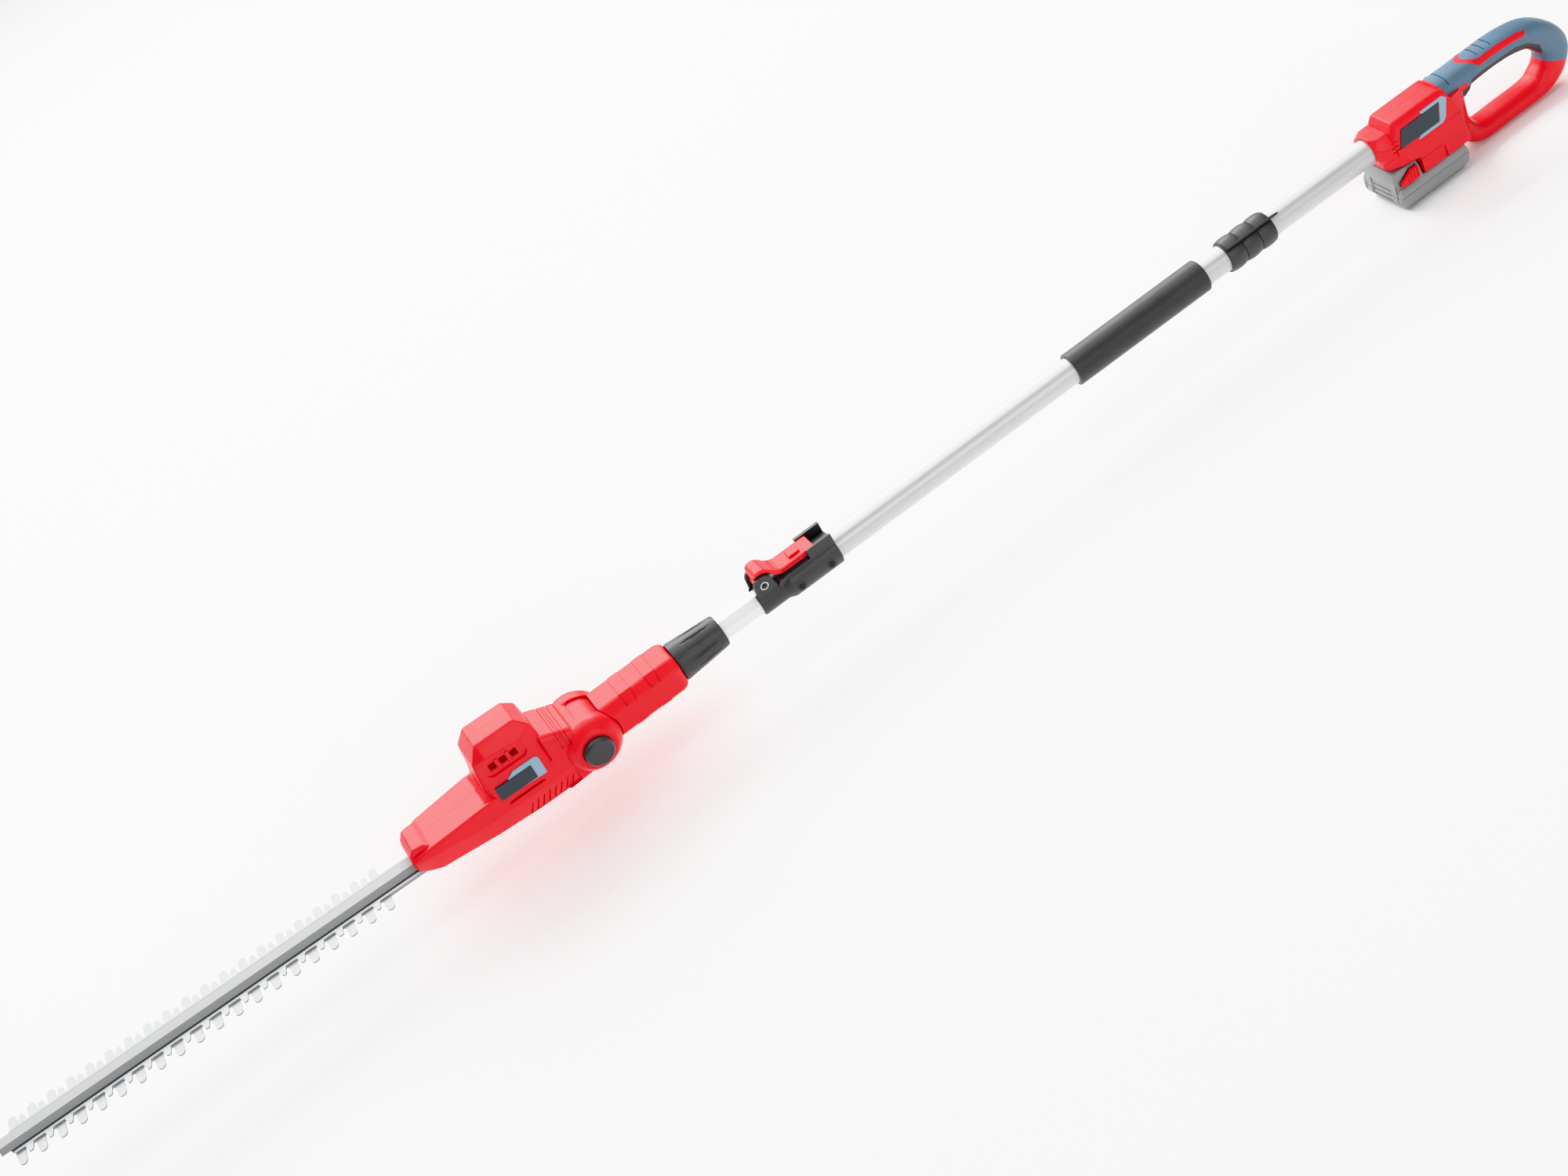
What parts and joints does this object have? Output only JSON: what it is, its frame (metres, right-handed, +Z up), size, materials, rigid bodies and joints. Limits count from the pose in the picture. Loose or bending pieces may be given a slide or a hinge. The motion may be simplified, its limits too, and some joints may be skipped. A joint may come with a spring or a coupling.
{
  "type": "pole hedge trimmer",
  "caption": "Long battery hedge trimmer: D-loop rear handle, slide-on battery, telescopic pole with quick clamp, tilting motor head and double-sided reciprocating blade.",
  "frame": {"origin": "centre of the battery's underside, the face that the handle end stands on", "axes": "+X along the pole from the handle to the blade tip, +Y to the user's left, +Z up"},
  "size_m": [2.0868, 0.0906, 0.1674],
  "materials": {
    "body_red": "fine-textured moulded nylon",
    "soft_blue": "satin soft-touch overmould",
    "slate": "fine-textured dark moulded plastic",
    "badge_slate": "satin plate, left blank",
    "battery_grey": "textured moulded plastic",
    "cell_wrap": null,
    "foam_black": "closed-cell foam sleeve",
    "aluminium": "satin drawn tube",
    "steel": "ground and bright plated"
  },
  "bodies": {
    "handle": {"handle_shell_left": "body_red", "handle_shell_right": "body_red", "grip_cover": "soft_blue", "grip_inlay_left": "body_red", "grip_inlay_right": "body_red", "finger_pad": "slate", "trigger_pin": "steel", "switch_body": "slate", "terminal_block": "slate", "housing_screws": "steel", "housing_badge_left": "badge_slate", "housing_badge_right": "badge_slate", "rear_tube": "aluminium", "tube_spigot": "aluminium", "coupling_collar": "slate", "coupling_pin": "steel", "main_tube": "aluminium", "foam_grip": "foam_black", "clamp_body": "slate", "clamp_pin": "steel", "clamp_pad": "slate", "clamp_screws": "steel"},
    "trigger": {"trigger": "slate"},
    "lock_off": {"lock_off_button": "slate"},
    "battery": {"battery_case": "battery_grey", "battery_top": "battery_grey", "battery_cells": "cell_wrap"},
    "button_left": {"release_button_left": "body_red"},
    "button_right": {"release_button_right": "body_red"},
    "coupling_lever": {"coupling_lever": "slate"},
    "clamp_lever": {"clamp_lever": "body_red"},
    "arm": {"inner_tube": "aluminium", "tube_bush": "slate", "compression_ring": "slate", "yoke_left": "body_red", "yoke_right": "body_red", "yoke_screws": "steel", "hinge_pin": "steel", "detent_ring": "steel"},
    "collar": {"collar_nut": "slate"},
    "head": {"head_shell_left": "body_red", "head_shell_right": "body_red", "head_screws": "steel", "head_badge_left": "badge_slate", "head_badge_right": "badge_slate", "motor": "steel", "gear_shaft": "steel", "gear_bearing": "steel", "gear_plate": "aluminium", "guide_bar": "aluminium", "blade_bolts": "steel", "hinge_cap": "slate"},
    "knob": {"release_knob": "slate"},
    "pinion": {"motor_pinion": "steel"},
    "gear": {"drive_gear": "steel"},
    "blade_upper": {"upper_blade": "steel"},
    "blade_lower": {"lower_blade": "steel"}
  },
  "joints": [
    {"name": "trigger_pull", "type": "hinge", "parent": "handle", "child": "trigger", "pos_m": [-0.066, 0, 0.081], "axis": [0, 1, 0], "range_deg": [0, 12], "stiffness_Nm_per_rad": 0.3},
    {"name": "lock_off_press", "type": "slide", "parent": "handle", "child": "lock_off", "axis": [0, 1, 0], "range_m": [0, 0.003], "stiffness_N_per_m": 300},
    {"name": "battery_slide", "type": "slide", "parent": "handle", "child": "battery", "axis": [1, 0, 0], "range_m": [0, 0.112]},
    {"name": "button_left_press", "type": "slide", "parent": "battery", "child": "button_left", "axis": [0, -1, 0], "range_m": [0, 0.003], "stiffness_N_per_m": 400},
    {"name": "button_right_press", "type": "slide", "parent": "battery", "child": "button_right", "axis": [0, 1, 0], "range_m": [0, 0.003], "stiffness_N_per_m": 400},
    {"name": "coupling_lever_open", "type": "hinge", "parent": "handle", "child": "coupling_lever", "pos_m": [0.233, -0.01926, 0.07499], "axis": [1, 0, 0], "range_deg": [0, 95]},
    {"name": "clamp_lever_open", "type": "hinge", "parent": "handle", "child": "clamp_lever", "pos_m": [0.896, 0, 0.106], "axis": [0, 1, 0], "range_deg": [0, 97]},
    {"name": "pole_extend", "type": "slide", "parent": "handle", "child": "arm", "axis": [1, 0, 0], "range_m": [0, 0.4]},
    {"name": "collar_turn", "type": "hinge", "parent": "arm", "child": "collar", "pos_m": [0.989, 0, 0.082], "axis": [1, 0, 0], "range_deg": [0, 90]},
    {"name": "head_tilt", "type": "hinge", "parent": "arm", "child": "head", "pos_m": [1.139, 0, 0.082], "axis": [0, 1, 0], "range_deg": [-60, 70]},
    {"name": "knob_press", "type": "slide", "parent": "head", "child": "knob", "axis": [0, -1, 0], "range_m": [0, 0.004], "stiffness_N_per_m": 600},
    {"name": "gear_spin", "type": "hinge", "parent": "head", "child": "gear", "pos_m": [1.2489, 0, 0.08674], "axis": [-0.0431, 0, 0.9991], "continuous": true},
    {"name": "pinion_spin", "type": "hinge", "parent": "head", "child": "pinion", "pos_m": [1.21893, 0, 0.08545], "axis": [-0.0431, 0, 0.9991], "continuous": true},
    {"name": "blade_upper_stroke", "type": "slide", "parent": "head", "child": "blade_upper", "axis": [0.9991, 0, 0.0431], "range_m": [-0.00575, 0.00575]},
    {"name": "blade_lower_stroke", "type": "slide", "parent": "head", "child": "blade_lower", "axis": [0.9991, 0, 0.0431], "range_m": [-0.00575, 0.00575]}
  ],
  "couplings": [
    {"joint": "pinion_spin", "follows": "gear_spin", "ratio": -5},
    {"joint": "blade_lower_stroke", "follows": "blade_upper_stroke", "ratio": -1}
  ]
}
